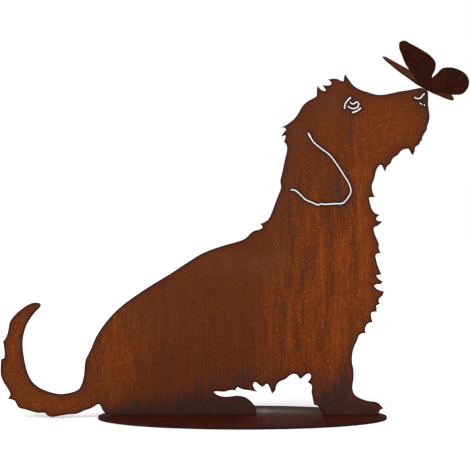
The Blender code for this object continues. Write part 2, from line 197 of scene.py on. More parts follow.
square = np.array([(0, 0), (1, 0), (1, 1), (0, 1)])
round_square, _ = smooth_ring(square, [False] * len(square), step=0.25)
print("a square of", len(square), "points becomes a smooth ring of", len(round_square))

# %% Find the corners and smooth the dog's cut lines
STRAIGHT_CUT = 12 * MM              # no facet of a curve is as long as this


def find_corners(ring, most_turn):
    """True at the points that turn more than most_turn degrees, and at both ends of a straight cut."""
    straight = np.linalg.norm(np.roll(ring, -1, axis=0) - ring, axis=1) > STRAIGHT_CUT
    return (turn_at(ring) > most_turn) | straight | np.roll(straight, 1)


CUT_STEP = 0.6 * MM                 # between points along the outline, and half of it along a slot
TIP_TURN = 24.0                     # degrees: an outline point that turns more is a corner
SLOT_TURN = 45.0                    # degrees: a slot's round ends turn up to 30 at a point

dog_cuts = []
for number, ring in enumerate(dog_rings):
    wanted = 1 if number == 0 else -1       # the outline anticlockwise, the slots clockwise
    ring = ring if area(ring) * wanted > 0 else ring[::-1]
    sharp = find_corners(ring, TIP_TURN if number == 0 else SLOT_TURN)
    dog_cuts.append(smooth_ring(ring, sharp, CUT_STEP if number == 0 else CUT_STEP / 2))
print("smooth points:", [len(cut) for cut, _ in dog_cuts], "corners:", int(dog_cuts[0][1].sum()))

# %% [markdown]
# The CAD model leaves a hair of air between pieces that touch, because a simulation needs it. The
# real dog stands on its plate, so the soles come down by that hair.

# %% Stand the dog on its plate
def inward(ring):
    """Unit direction into the metal at each point: the mean of its two sides' left-hand normals,
    lengthened so that a line carried along it stays parallel to both sides."""
    side = np.roll(ring, -1, axis=0) - ring
    side /= np.linalg.norm(side, axis=1, keepdims=True)
    normal = np.stack([-side[:, 1], side[:, 0]], axis=1)
    mean = normal + np.roll(normal, 1, axis=0)
    return 2 * mean / np.maximum((mean**2).sum(axis=1, keepdims=True), 0.5)


PLATE_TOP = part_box("foot_plate")[1].z
HAIR = 0.3 * MM                     # of air under the soles and under the butterfly
outline, corners = dog_cuts[0]
standing = np.abs(outline[:, 1] - (PLATE_TOP + HAIR)) < 2 * SAME_PLACE
dog_cuts[0] = (outline - np.stack([0 * standing, HAIR * standing], axis=1), corners)
print("points of the soles lowered:", int(standing.sum()))

# %% [markdown]
# Rust takes up more room than the steel that it came from, so the narrow slots of the ear, eye and
# nose have closed up a little. The shortest two have closed up most.

# %% Narrow the slots
RUST_SWELL = 0.17 * MM              # on each side of a slot
DOT_SWELL = 0.30 * MM               # on each side of the nose's two dots
DOT_LENGTH = 6 * MM                 # a slot shorter than this is a dot


def narrowed(slot):
    """A slot's cut line, moved into the gap by as much as the rust on it has swollen."""
    swell = DOT_SWELL if np.ptp(slot, axis=0).max() < DOT_LENGTH else RUST_SWELL
    return slot - swell * inward(slot)


dog_cuts[1:] = [(narrowed(slot), ends) for slot, ends in dog_cuts[1:]]
print("slots narrowed:", len(dog_cuts) - 1)

# %% [markdown]
# ## From cut lines to a sheet
#
# A cut sheet has two flat faces and one narrow wall. The wall is a profile carried along each cut
# line: in from the face, round a tiny arris, straight across the thickness, round the other arris.
# The arris fades out at the tip of each tuft, where the metal is too narrow for it.

# %% Profile of the cut wall
SHEET = 2 * abs(FRONT)              # thickness of the dog's sheet
ARRIS = 0.20 * MM                   # radius worn on the cut edge
ARRIS_POINTS = 4                    # across each arris
TIP_FADE = 3.0 * MM                 # along the line from a corner, over which the arris grows


def run_along(ring):
    """How far along its ring each point lies: the running sum of the sides before it."""
    return np.concatenate([[0.0], np.cumsum(np.linalg.norm(np.diff(ring, axis=0), axis=1))])


def arris_share(ring, corner):
    """How much of the arris a point has: the square of its distance to the nearest corner along the
    ring, divided by TIP_FADE and at most 1."""
    if not corner.any():
        return np.ones(len(ring))
    run = run_along(ring)
    total = run[-1] + np.linalg.norm(ring[0] - ring[-1])
    at = run[corner]
    stops = np.concatenate([[at[-1] - total], at, [at[0] + total]])
    after = np.searchsorted(stops, run, side="right")
    near = np.minimum(run - stops[after - 1], stops[np.minimum(after, len(stops) - 1)] - run)
    return np.minimum(near / TIP_FADE, 1.0) ** 2


def wall_profile(thickness):
    """(inset, depth) from the front face round to the back: inset r(1 − sin a) and depth r(1 − cos a)
    below the face on each arris, for a from 0 to 90 degrees, with a straight wall between."""
    a = np.linspace(0, math.pi / 2, ARRIS_POINTS)
    first = np.stack([ARRIS * (1 - np.sin(a)), ARRIS * (1 - np.cos(a)) - thickness / 2], axis=1)
    return np.vstack([first, [[0.0, 0.0]], first[::-1] * [1, -1]])


print("wall profile in mm:", (wall_profile(SHEET) / MM).round(2).tolist())

# %% [markdown]
# It would be less work to fill each face with one huge polygon, but that shades badly and can hold no
# attributes between its rims. A scatter of points over the face keeps the triangles small, so that
# they can tell the rust's places apart. A honeycomb makes them all much alike.

# %% Scatter points over a face
FILL_STEP = 1.9 * MM                # between the scattered points
CLEAR = 0.45                        # of that step, kept free along a cut line
PORTION = 1000                      # points worked on at once, to spare the memory


def scatter(low, high, spacing):
    """Rows of points in a honeycomb: each second row is shifted by half the spacing."""
    rows = np.arange(low[1], high[1], spacing * math.sqrt(3) / 2)
    columns = np.arange(low[0], high[0], spacing)
    x, z = np.meshgrid(columns, rows)
    x[1::2] += spacing / 2
    return np.stack([x.ravel(), z.ravel()], axis=1)


def distance_to(points, line):
    """Distance from each point p to the nearest point q of a line: √(|p|² + |q|² − 2p·q), least over
    q."""
    least = [(portion**2).sum(axis=1)[:, None] + (line**2).sum(axis=1) - 2 * portion @ line.T
             for portion in np.array_split(points, max(1, len(points) // PORTION))]
    return np.sqrt(np.maximum(np.concatenate([part.min(axis=1) for part in least]), 0))


def is_inside(points, ring):
    """True where a ray from the point towards +x crosses the ring an odd number of times."""
    ahead = np.roll(ring, -1, axis=0)
    rise = np.where(ahead[:, 1] == ring[:, 1], 1.0, ahead[:, 1] - ring[:, 1])
    odd = []
    for portion in np.array_split(points, max(1, len(points) // PORTION)):
        x, z = portion[:, :1], portion[:, 1:]
        spans = (ring[:, 1] > z) != (ahead[:, 1] > z)
        cross = ring[:, 0] + (z - ring[:, 1]) * (ahead[:, 0] - ring[:, 0]) / rise
        odd.append((spans & (x < cross)).sum(axis=1) % 2 == 1)
    return np.concatenate(odd)


def fill_points(lines, spacing):
    """Scattered points on the metal between cut lines, and how far each one is from the nearest."""
    every = np.vstack(lines)
    fill = scatter(every.min(axis=0), every.max(axis=0), spacing)
    edge = distance_to(fill, every)
    keep = (edge > CLEAR * spacing) & is_inside(fill, lines[0])
    for slot in lines[1:]:
        keep &= ~is_inside(fill, slot)
    return fill[keep], edge[keep]


print("points scattered over a square of 10 mm:", len(scatter((0, 0), (10 * MM, 10 * MM), FILL_STEP)))

# %% [markdown]
# Blender's constrained Delaunay tool joins the points to triangles and never crosses a cut line. It
# closes the slots as well, so the triangles inside them are taken out again.

# %% Fill a face
INSIDE_ONLY = 1                     # the tool's output: only the triangles within the cut lines
TOUCHING = 1e-9                     # metres: points nearer than this would be joined


def ring_quads(index):
    """Quads between the rows of a grid's point numbers, where each row closes on itself."""
    beside = np.roll(index, -1, axis=1)
    quads = np.stack([index[:-1], index[1:], beside[1:], beside[:-1]], axis=-1)
    return quads.reshape(-1, 4).tolist()


def fill_face(rims, fill):
    """Triangles between the rims' points and the scattered ones, with none inside a slot."""
    seeds = np.vstack(rims + [fill])
    ends = np.cumsum([len(rim) for rim in rims])
    here = np.arange(ends[-1])
    ahead = here + 1
    ahead[ends - 1] = np.concatenate([[0], ends[:-1]])
    sides = np.stack([here, ahead], axis=1)
    corners, _, triangles, _, _, _ = delaunay_2d_cdt(
        seeds.tolist(), sides.tolist(), [], INSIDE_ONLY, TOUCHING)
    if len(corners) != len(seeds):
        raise ValueError("cut lines touch: the filling has moved their points")
    triangles = np.array([tuple(numbers) for numbers in triangles])
    middles = seeds[triangles].mean(axis=1)
    solid = np.ones(len(triangles), dtype=bool)
    for rim in rims[1:]:
        solid &= ~is_inside(middles, rim)
    return triangles[solid]


print("a ring of 4 points in 2 rows gives", len(ring_quads(np.arange(8).reshape(2, 4))), "quads")

# %% [markdown]
# Now the parts go together: a wall for each cut line, and one filling used twice, turned over for the
# back. Both faces take their rims from the wall's own points, so the sheet is closed.

# %% Build a sheet from its cut lines
def cut_sheet(cuts, thickness, spacing):
    """A closed sheet as flat points (n, 2), their depths (n,) and its faces. Each point also gets its
    distance from the nearest cut line, a mark if it is on the cut wall, another if it is on the back
    face, and for the wall how far along the cut line it lies."""
    profile = wall_profile(thickness)
    walls, along, faces, front, back, first = [], [], [], [], [], 0
    for ring, corner in cuts:
        inset = profile[:, :1] * arris_share(ring, corner)
        walls.append(ring + inset[:, :, None] * inward(ring))
        along.append(np.tile(run_along(ring), len(profile)))
        index = first + np.arange(inset.size).reshape(inset.shape)
        faces += ring_quads(index)
        front.append(index[0])
        back.append(index[-1])
        first += index.size

    fill, edge = fill_points([ring for ring, _ in cuts], spacing)
    triangles = fill_face([wall[0] for wall in walls], fill)
    front = np.concatenate(front + [first + np.arange(len(fill))])
    back = np.concatenate(back + [first + len(fill) + np.arange(len(fill))])
    faces += front[triangles].tolist() + back[triangles[:, ::-1]].tolist()

    none = np.zeros(len(fill))
    wall_depth = [np.repeat(profile[:, 1], len(ring)) for ring, _ in cuts]
    depth = np.concatenate(wall_depth + [none - thickness / 2, none + thickness / 2])
    near_face = 0.49 * thickness
    return {
        "flat": np.vstack([wall.reshape(-1, 2) for wall in walls] + [fill, fill]),
        "depth": depth,
        "faces": faces,
        "from_edge": np.concatenate([np.zeros(first), edge, edge]),
        "cut": (np.abs(depth) < near_face) * 1.0,
        "back": (depth > near_face) * 1.0,
        "along": np.concatenate(along + [none, none]),
    }


def make_piece(name, points, faces, attributes):
    """A smooth-shaded mesh object at the origin, with one float attribute for each name."""
    mesh = bpy.data.meshes.new(name)
    mesh.from_pydata(points.tolist(), [], faces)
    mesh.shade_smooth()
    for key, values in attributes.items():
        layer = mesh.attributes.new(key, "FLOAT", "POINT")
        layer.data.foreach_set("value", np.asarray(values, dtype=np.float32))
    piece = bpy.data.objects.new(name, mesh)
    bpy.context.scene.collection.objects.link(piece)
    return piece


sheet = cut_sheet(dog_cuts, SHEET, FILL_STEP)
print("dog's sheet:", len(sheet["flat"]), "points,", len(sheet["faces"]), "faces")

# %% [markdown]
# ## Where the rust is orange and where it stays dark
#
# Rust isn't the same all over. Where rain ran and dried often, on the rump, the muzzle and down the
# chest, it has bloomed orange. Where the mill's blue-black scale held on, it stays dark: round the eye
# and nostril, on part of the ear. At the feet and along the soles, next to the plate, the same dark
# patches are partly scale and partly painted shade. A noise texture alone can't know these places. So
# each is laid down as a soft oval patch, and their sum goes into the mesh as an attribute that the
# material reads. A patch with a negative weight takes some away again, as under the toes, where the
# scale has rusted through.

# %% Bloom, scale and painted shade
def patches(x, z, places):
    """Sum of soft ovals w·exp(−((x − cx)/rx)² − ((z − cz)/rz)²), at most 1. Each place is its centre
    (cx, cz) and its radii (rx, rz) in millimetres, and its weight w."""
    total = sum(w * np.exp(-((x / MM - cx) / rx) ** 2 - ((z / MM - cz) / rz) ** 2)
                for cx, cz, rx, rz, w in places)
    return np.minimum(total, 1.0)


ORANGE_BLOOM = [
    (-130, 62, 20, 46, 0.7), (-170, 14, 22, 14, 0.6),       # rump and the tail's root
    (-205, 14, 32, 14, 0.7), (-224, 68, 12, 36, 0.9), (-217, 103, 10, 12, 0.5),     # tail
    (146, 290, 28, 26, 1.0), (118, 258, 15, 44, 0.9), (84, 285, 14, 24, 0.4),       # muzzle and cheek
    (122, 203, 14, 50, 1.0), (112, 148, 26, 46, 0.9), (93, 78, 24, 44, 0.9),        # chest
    (52, 100, 24, 80, 0.6), (48, 48, 35, 14, 0.5),          # shoulder and belly
    (66, 226, 8, 22, 0.4),          # middle of the ear
]
SCALE_AND_PAINTED_SHADE = [
    (45, 238, 6, 42, 0.45), (62, 290, 16, 14, 0.25),        # nape and the back of the head
    (94, 231, 10, 22, 0.45), (101, 218, 8, 14, 0.4),        # ear
    (92, 318, 16, 12, 0.35), (111, 311, 9, 8, 0.7), (109, 290, 5, 16, 0.45),        # eye, run below it
    (183, 321, 9, 12, 1.0), (184, 292, 5, 18, 0.55), (146, 326, 30, 5, 0.5),        # nose, chin, bridge
    # painted shade: the hind foot and sole patches darken the sheet low down, where it meets the plate;
    # they are partly scale and partly painted shade
    (-8, 8, 36, 18, 1.0), (-60, 2, 70, 23, 0.75), (-112, 2, 54, 14, 0.6),           # hind foot and sole
    (0, 40, 44, 16, 0.35), (34, 34, 16, 14, 0.2),           # along the belly's edge
    # painted shade: the forefoot patches darken the foot next to the plate; they are partly scale and
    # partly painted shade
    (92, 14, 30, 27, 1.0), (104, 36, 8, 16, 0.4), (125, 8, 16, 8, 0.9),             # forefoot
    (109, 4, 10, 3, -0.55), (88, 3, 5, 2, -0.35), (-40, 3, 14, 2, -0.3),            # rust under the toes
    (-52, 88, 50, 60, 0.15),        # flank
]
print("patches of bloom:", len(ORANGE_BLOOM), "and of scale:", len(SCALE_AND_PAINTED_SHADE))

# %% [markdown]
# The rain left run marks, most of them on the chest. And a few drops always took the same way down,
# so single columns on the neck and chest are far brighter or darker than the rest. A column is a
# patch too, a few millimetres wide and several centimetres high.

# %% Run marks and single columns
RUN_MARKS = [
    (95, 130, 42, 100, 1.0), (118, 240, 24, 50, 0.8),       # chest and throat
    (-130, 75, 30, 60, 0.6), (66, 226, 24, 30, 0.32),       # rump and ear
    (54, 110, 26, 90, 0.6), (-222, 60, 16, 50, 0.35),       # shoulder and tail
    (-50, 80, 90, 80, 0.16),        # flank
    (90, 20, 30, 30, 0.35), (30, 60, 30, 30, 0.2),          # foreleg and belly
]
BRIGHT_COLUMNS = [
    (79, 160, 3.5, 34, 0.9), (92, 92, 6, 34, 0.5), (122, 150, 5, 30, 0.9), (117, 190, 3, 26, 0.7),
    (118, 240, 7, 34, 0.5), (104, 148, 3, 18, 0.6), (108, 44, 2.5, 8, 0.8), (-127, 100, 3.5, 22, 0.7),
    (-134, 62, 4, 26, 0.5), (97, 178, 5, 30, 0.5), (72, 222, 3, 18, 0.3), (104, 8, 12, 3, 0.35),
    (66, 176, 5, 30, 0.4), (97, 84, 3, 30, 0.4), (127, 176, 3, 20, 0.4), (28, 108, 3, 36, 0.4),
    (47, 90, 2.5, 40, 0.5), (24, 128, 2, 8, 0.5), (-96, 80, 3, 30, 0.25),
]
DARK_COLUMNS = [
    (88, 184, 3, 26, 0.8), (112, 164, 3, 26, 0.8), (73, 188, 2, 18, 0.4), (49, 172, 3.5, 34, 0.8),
    (82, 60, 3, 22, 0.8), (82, 92, 1.5, 18, 0.8), (105, 58, 3, 14, 0.6), (98, 122, 2.5, 18, 0.35),
    (54, 90, 2.5, 34, 0.35), (60, 150, 3, 26, 0.4), (112, 225, 2.5, 30, 0.5), (-144, 84, 3, 30, 0.3),
    (40, 190, 4, 20, 0.4), (39, 78, 3.5, 44, 0.55), (-82, 70, 4, 30, 0.2),
]
print("columns:", len(BRIGHT_COLUMNS), "bright and", len(DARK_COLUMNS), "dark")

# %% [markdown]
# Dust settles along the back and on the head, and the oldest rust has turned golden. Behind the
# soles each weld has burnt the sheet dark, so those patches count on the back face alone.

# %% Dust, gold and heat, and all marks of the sheet
SETTLED_DUST = [
    (-10, 155, 60, 14, 0.9), (36, 190, 10, 34, 0.5),        # back and shoulder
    (48, 235, 7, 40, 0.6), (-90, 105, 40, 20, 0.5),         # nape and rump
    (60, 285, 16, 16, 0.6), (92, 318, 16, 16, 1.0),         # back of the head and crown
    (150, 326, 34, 6, 0.5), (96, 20, 26, 22, 0.5),          # bridge of the nose and foreleg
]
GOLDEN = [
    (-130, 60, 26, 60, 0.6), (-222, 50, 24, 50, 0.8), (-190, 14, 40, 12, 0.6),      # rump and tail
    (44, 110, 22, 70, 0.5), (100, 130, 40, 60, 0.5),        # shoulder and chest
    (140, 285, 34, 30, 0.4), (70, 230, 14, 30, 0.4),        # muzzle and ear
]
SOLE_WELDS = (-107.4, -57.4, -4.4, 92.6, 123.6)     # middles of the weld beads along the soles, in mm
WELD_HEAT = [(round(middle), 3, 13, 7, 0.8) for middle in SOLE_WELDS]

x, z = sheet["flat"].T
dog_marks = {
    "from_edge": sheet["from_edge"] / MM,
    "along": sheet["along"] / MM,
    "cut": sheet["cut"],
    "back": sheet["back"],
    "bloom": patches(x, z, ORANGE_BLOOM),
    # the scale mark also carries the painted shade at the feet and soles
    "scale": np.minimum(patches(x, z, SCALE_AND_PAINTED_SHADE) + sheet["back"] * patches(x, z, WELD_HEAT), 1.0),
    "runs": patches(x, z, RUN_MARKS),
    "bright": patches(x, z, BRIGHT_COLUMNS),
    "dark": patches(x, z, DARK_COLUMNS),
    "dusty": patches(x, z, SETTLED_DUST),
    "golden": patches(x, z, GOLDEN),
}
for name, values in dog_marks.items():
    print(f"{name}: {values.min():.2f} to {values.max():.2f}, mean {values.mean():.2f}")

# %% Make the dog's sheet
dog = make_piece("dachshund_sheet", np.stack([x, sheet["depth"], z], axis=1), sheet["faces"], dog_marks)
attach(dog, "root")
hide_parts("dachshund")
print("made", dog.name)

# %% [markdown]
# ## The foot plate
#
# The foot plate is an oval of thicker steel. It is one profile, from the middle of the top out to the
# rim, down the cut wall and back in below, carried round the oval. A cylinder that is scaled in y
# would stretch its rounded rim along with it. This way the rim is the same all round.

# %% Carry the plate's profile round the oval
def closed_grid(grid):
    """Faces of a grid of rows that each close on themselves: quads between the rows, and one face
    over the first row and one over the last."""
    index = np.arange(grid.shape[0] * grid.shape[1]).reshape(grid.shape[:2])
    return ring_quads(index) + [index[0].tolist(), index[-1][::-1].tolist()]


def oval_point(inset, turn, half_length, half_width):
    """Point of the oval at a turn t, moved in by an inset: ((a − inset)·cos t, (b − inset)·sin t)."""
    return (half_length - inset) * np.cos(turn), (half_width - inset) * np.sin(turn)


PLATE_ROWS = 14                     # rings of points on each face, closer together towards the rim
OVAL_POINTS = 360                   # round the oval
OUTER_ROW, INNER_ROW = 2 * MM, 1 * MM               # from the rim, and from the middle
plate_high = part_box("foot_plate")[1]
HALF_LENGTH, HALF_WIDTH, PLATE = plate_high.x, plate_high.y, plate_high.z
wall = wall_profile(PLATE) + [0, PLATE / 2]
rows_in = HALF_WIDTH - np.geomspace(OUTER_ROW, HALF_WIDTH - INNER_ROW, PLATE_ROWS)
top_rows = np.stack([rows_in, np.full(PLATE_ROWS, PLATE)], axis=1)
under_rows = top_rows[::-1] * [1, 0]
plate_profile = np.vstack([top_rows, wall[::-1], under_rows])
turn = np.linspace(0, 2 * math.pi, OVAL_POINTS, endpoint=False)
plate_x, plate_y = oval_point(plate_profile[:, :1], turn, HALF_LENGTH, HALF_WIDTH)
plate_z = np.repeat(plate_profile[:, 1:], len(turn), axis=1)
plate_grid = np.stack([plate_x, plate_y, plate_z], axis=-1)
print("plate:", round(2 * HALF_LENGTH / MM, 1), "x", round(2 * HALF_WIDTH / MM, 1), "mm")

# %% Make the plate
MILL_SKIN = [(42, 34, 40, 26, 0.8), (20, 34, 8, 22, 0.6), (-110, 20, 30, 30, 0.4)]      # smooth places
off_middle = np.abs(plate_profile[:, 1] - PLATE / 2)
plate_marks = {
    "from_edge": np.repeat(plate_profile[:, 0], len(turn)) / MM,
    "skin": patches(plate_x.ravel(), plate_y.ravel(), MILL_SKIN),
    "cut": np.repeat((off_middle < 0.49 * PLATE) * 1.0, len(turn)),
}
plate = make_piece("oval_plate", plate_grid.reshape(-1, 3), closed_grid(plate_grid), plate_marks)
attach(plate, "root")
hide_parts("foot_plate")
print("made", plate.name, "with", len(plate.data.polygons), "faces")

# %% [markdown]
# ## The butterfly
#
# The butterfly is cut flat from thin sheet, with its body line down the middle, and then its wings are
# pressed up on both sides of that line. It is made the same way here: one half is drawn flat, the
# other half is its mirror image, cut_sheet makes the flat sheet, and a bend rolls the middle of it
# round a small radius. The wings stay flat beyond the bend, as pressed sheet does.

# %% Draw the butterfly flat
CORNER = True
FOREWING = [
    (6, 0, CORNER), (13, 4.4), (22.4, 8.6), (30.6, 12.6), (39.2, 19.3), (46, 25.2), (47.8, 29.2),
    (45.4, 32.7), (37.4, 33.5), (26, 33.5), (14.6, 32.5), (6, 28.7), (2.4, 21.6), (1.6, 15.8),
    (0.5, 13.4, CORNER),
]
HINDWING = [
    (-1, 19.5), (-3, 27.2), (-9, 31.8), (-18, 34.1), (-27, 33.1), (-32.9, 28.8), (-35.9, 20),
    (-34.6, 14.2), (-27.8, 9), (-15.7, 4.6), (-5, 0, CORNER),
]
half = FOREWING + HINDWING          # (u towards the head, v out from the body) in mm
mirrored = [(u, -v, *corner) for u, v, *corner in half[-2:0:-1]]
wing_line = np.array([point[:2] for point in half + mirrored]) * MM
wing_corner = np.array([len(point) == 3 for point in half + mirrored])
if area(wing_line) < 0:
    wing_line, wing_corner = wing_line[::-1], wing_corner[::-1]
WING_SHEET = 1 * MM                 # thickness
WING_STEP = 0.5 * MM                # between points along its cut line
WING_FILL = 1.3 * MM                # between the points scattered over it
wings = cut_sheet([smooth_ring(wing_line, wing_corner, WING_STEP)], WING_SHEET, WING_FILL)
print("butterfly's sheet:", len(wings["flat"]), "points")

# %% Bend it and set it on the nose
BEND_RADIUS = 4 * MM                # of the sheet's middle
WING_LIFT = math.radians(44.0)      # each wing above the flat sheet
PITCH, YAW, ROLL = (math.radians(a) for a in (27.0, 9.3, 17.4))
NOSE_SEAT = np.array([182.5, 0.0, 328.6]) * MM      # middle of the slanting flat on the nose
SEAT_U = -0.5 * MM                  # place along the body that rests on the nose

forward = np.array([-math.cos(PITCH) * math.cos(YAW), -math.sin(YAW), math.sin(PITCH) * math.cos(YAW)])
seat_normal = np.array([math.sin(PITCH), 0.0, math.cos(PITCH)])
side_way = math.cos(ROLL) * np.cross(seat_normal, forward) + math.sin(ROLL) * seat_normal
upward = np.cross(forward, side_way)


def bend(flat, depth):
    """Rolls flat points (u, v) round the body line. Within the bend v turns by a = v/R; beyond it the
    wing runs straight at the full lift. A point lies (R + depth)·sin a out and −(R + depth)·cos a up,
    plus its straight run times the cosine and sine of the lift."""
    arc = BEND_RADIUS * WING_LIFT
    a = np.clip(flat[:, 1], -arc, arc) / BEND_RADIUS
    run = flat[:, 1] - a * BEND_RADIUS
    out = (BEND_RADIUS + depth) * np.sin(a) + run * math.cos(WING_LIFT)
    rise = -(BEND_RADIUS + depth) * np.cos(a) + np.abs(run) * math.sin(WING_LIFT)
    middle = NOSE_SEAT + (HAIR + WING_SHEET / 2 + BEND_RADIUS) * seat_normal
    return (middle + (flat[:, :1] - SEAT_U) * forward + out[:, None] * side_way
            + rise[:, None] * upward)


wing_marks = {
    "along_wing": np.abs(wings["flat"][:, 1]) / MM,
    "along_body": wings["flat"][:, 0] / MM,
    "from_edge": wings["from_edge"] / MM,
    "upper": (wings["depth"] < 0) * 1.0,
}
butterfly = make_piece("butterfly_sheet", bend(wings["flat"], wings["depth"]), wings["faces"], wing_marks)
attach(butterfly, "root")
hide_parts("butterfly")
print("butterfly made,", round(math.degrees(WING_LIFT)), "degrees of lift on each wing")

# %% [markdown]
# ## Weld beads
#
# The front of the dog is kept clean, so the welder worked from behind: short beads run along the
# soles in the corner between sheet and plate, and one small bead holds the butterfly. A weld bead
# cools in ripples, each shaped like a new moon, because the pool of melt moves on in steps. The bead
# is a surface of two parameters: one runs along the bead, the other round its bulging face.

# %% Shape of a weld bead
BEAD_POINTS = (97, 13)              # along a bead and round its face
BEAD_END = 0.985                    # of half its length: just short of where it comes to nothing
BEAD_BODY, RIPPLE_RISE = 0.94, 0.09     # of the leg: the bottom of a ripple, and its height above it
RIPPLE_LAG = 0.9                    # of a ripple, at both sides
BULGE = 1.3                         # power of the face's cosine and sine: 1 is a quarter circle
ROOT = -0.05 * MM                   # the bead's hidden corner, a hair inside both metals


def bead(middle, along, out, up, length, leg, ripple):
    """A fillet weld as a closed grid. For s from −1 to 1 along it and a from 0 to 90 degrees round it,
    its face is size(s, a)·(cosᵖ a, sinᵖ a) from the corner, where size is the leg, rounded off at the
    ends by √(1 − s⁴), times 0.94 + 0.09·|sin| of a ripple that lags behind at the sides."""
    s = np.linspace(-BEAD_END, BEAD_END, BEAD_POINTS[0])[:, None]
    a = np.linspace(0, math.pi / 2, BEAD_POINTS[1])[None, :]
    phase = math.pi * (s * length / 2 + RIPPLE_LAG * ripple * np.cos(2 * a) ** 2) / ripple
    size = leg * np.sqrt(1 - s**4) * (BEAD_BODY + RIPPLE_RISE * np.abs(np.sin(phase)))
    root = np.full((len(s), 1), ROOT)
    across = np.hstack([root, size * np.cos(a) ** BULGE])
    rise = np.hstack([root, size * np.sin(a) ** BULGE])
    place = np.asarray(middle) + (s * length / 2)[:, :, None] * np.asarray(along)
    return place + across[:, :, None] * np.asarray(out) + rise[:, :, None] * np.asarray(up)


def join_grids(grids):
    """Points and faces of several closed grids in one mesh."""
    points = np.vstack([grid.reshape(-1, 3) for grid in grids])
    firsts = np.cumsum([0] + [grid.shape[0] * grid.shape[1] for grid in grids[:-1]])
    faces = [[first + number for number in face]
             for first, grid in zip(firsts, grids) for face in closed_grid(grid)]
    return points, faces


print("a bead has", BEAD_POINTS[0] * (BEAD_POINTS[1] + 1), "points")

# %% Make the weld beads
SOLE_BEAD = (18 * MM, 3 * MM, 1.5 * MM)             # length, leg and ripple
NOSE_BEAD = (5.0 * MM, 1.8 * MM, 1.0 * MM)
sole_grids = [bead((middle * MM, SHEET / 2, PLATE), (-1, 0, 0), (0, 1, 0), (0, 0, 1), *SOLE_BEAD)
              for middle in SOLE_WELDS]
seat_way = np.cross(seat_normal, (0, 1, 0))
nose_corner = NOSE_SEAT + HAIR * seat_normal + [0, SHEET / 2, 0]        # under the butterfly's body
nose_grid = bead(nose_corner, seat_way, (0, 1, 0), -seat_normal, *NOSE_BEAD)
welds = make_piece("weld_beads", *join_grids(sole_grids + [nose_grid]), {})

bm = bmesh.new()                    # some of the grids are wound inside out, so all faces are turned out
bm.from_mesh(welds.data)
bmesh.ops.recalc_face_normals(bm, faces=bm.faces)
bm.to_mesh(welds.data)
bm.free()
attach(welds, "root")
print("weld beads:", len(sole_grids) + 1)

# %% [markdown]
# ## Painting with nodes
#
# Rust is colour, dullness and grain at once, so one Principled shader gets all three from the same
# few patterns. The patterns are noises in the object's own coordinates and the attributes from
# above, so they stay on the metal from every side. A recipe puts in one node at a time and lays one
# thin colour over another, as a painter glazes. That keeps a long node tree readable. On the back of
# the dog the noises are read 50 mm away, so that the two faces don't rust alike.

# %% Colours from a picker
def paint(red, green, blue):
    """A colour from a picker's 0 to 255 numbers as the linear values that a shader takes."""
    c = np.array([red, green, blue]) / 255
    return (*np.where(c <= 0.04045, c / 12.92, ((c + 0.055) / 1.055) ** 2.4).tolist(), 1.0)


print("brown for the rust:", [round(c, 3) for c in paint(100, 48, 21)])

# %% Steps of a recipe
BACK_SHIFT = (0, 50 * MM, 0)        # where the back face reads its noises


